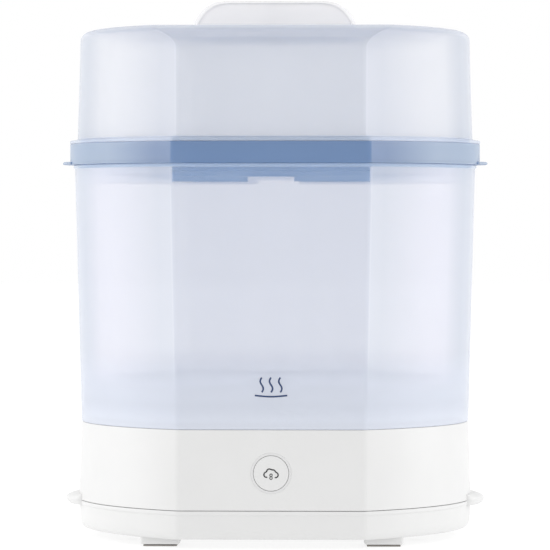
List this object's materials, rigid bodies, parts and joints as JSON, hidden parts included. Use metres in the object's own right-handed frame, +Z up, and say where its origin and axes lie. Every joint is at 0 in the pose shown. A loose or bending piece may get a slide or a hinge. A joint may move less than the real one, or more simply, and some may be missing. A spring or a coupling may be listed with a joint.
{
  "type": "electric steam bottle sterilizer",
  "caption": "Tall steam sterilizer: a white heating base with a round start button, a frosted tub with a rack, a blue upper tray and a domed lid with a fin handle.",
  "frame": {"origin": "on the table under the middle of the object", "axes": "+Z up, -Y towards the front facet with the start button, +X to the viewer's right when facing the front"},
  "size_m": [0.2874, 0.2384, 0.361],
  "materials": {
    "white_plastic": "fine satin, opaque",
    "frosted_plastic": "frosted, translucent",
    "blue_plastic": "translucent blue",
    "milky_plastic": "milky, translucent",
    "stainless_steel": "brushed",
    "aluminium": "cast",
    "silicone": "matt",
    "grey_rubber": "matt",
    "circuit_board": "lacquered laminate",
    "black_plastic": "matt",
    "lamp": "clear tint",
    "brown_wire": "insulation",
    "blue_wire": "insulation",
    "earth_wire": "insulation"
  },
  "bodies": {
    "base": {"base_housing": "white_plastic", "bottom_cover": "white_plastic", "rubber_foot_front_left": "grey_rubber", "rubber_foot_front_right": "grey_rubber", "rubber_foot_rear_left": "grey_rubber", "rubber_foot_rear_right": "grey_rubber", "cover_screw_front_left": "stainless_steel", "cover_screw_front_right": "stainless_steel", "cover_screw_rear_left": "stainless_steel", "cover_screw_rear_right": "stainless_steel", "heating_plate": "stainless_steel", "plate_gasket": "silicone", "heat_spreader": "aluminium", "heater_tube": "stainless_steel", "heater_bracket": "stainless_steel", "bracket_screw_left": "stainless_steel", "bracket_screw_right": "stainless_steel", "thermostat": "black_plastic", "thermal_fuse": "stainless_steel", "light_ring": "milky_plastic", "button_spring": "stainless_steel", "switch_body": "black_plastic", "control_board": "circuit_board", "board_screw_left": "stainless_steel", "board_screw_right": "stainless_steel", "indicator_lamp_left": "lamp", "indicator_lamp_right": "lamp", "relay": "black_plastic", "terminal_block": "white_plastic", "capacitor": "black_plastic", "cord_gland": "white_plastic", "live_wire": "brown_wire", "fuse_lead": "brown_wire", "switch_lead": "brown_wire", "heater_lead": "blue_wire", "neutral_wire": "blue_wire", "earth_wire": "earth_wire"},
    "button": {"start_button": "white_plastic", "switch_plunger": "white_plastic"},
    "tub": {"bottle_tub": "frosted_plastic"},
    "rack": {"bottle_rack": "frosted_plastic"},
    "tray": {"upper_tray": "blue_plastic"},
    "lid": {"lid_shell": "frosted_plastic", "lid_handle": "milky_plastic", "handle_washer": "silicone", "handle_screw": "milky_plastic"}
  },
  "joints": [
    {"name": "button_press", "type": "slide", "parent": "base", "child": "button", "axis": [0, 0.9992, -0.0407], "range_m": [0, 0.0015], "stiffness_N_per_m": 600, "springref_m": -0.001, "deforming": ["button_spring"]},
    {"name": "tub_lift", "type": "slide", "parent": "base", "child": "tub", "axis": [0, 0, 1], "range_m": [0, 0.15]},
    {"name": "rack_lift", "type": "slide", "parent": "tub", "child": "rack", "axis": [0, 0, 1], "range_m": [0, 0.12]},
    {"name": "tray_lift", "type": "slide", "parent": "tub", "child": "tray", "axis": [0, 0, 1], "range_m": [0, 0.2]},
    {"name": "lid_lift", "type": "slide", "parent": "tray", "child": "lid", "axis": [0, 0, 1], "range_m": [0, 0.15]}
  ]
}
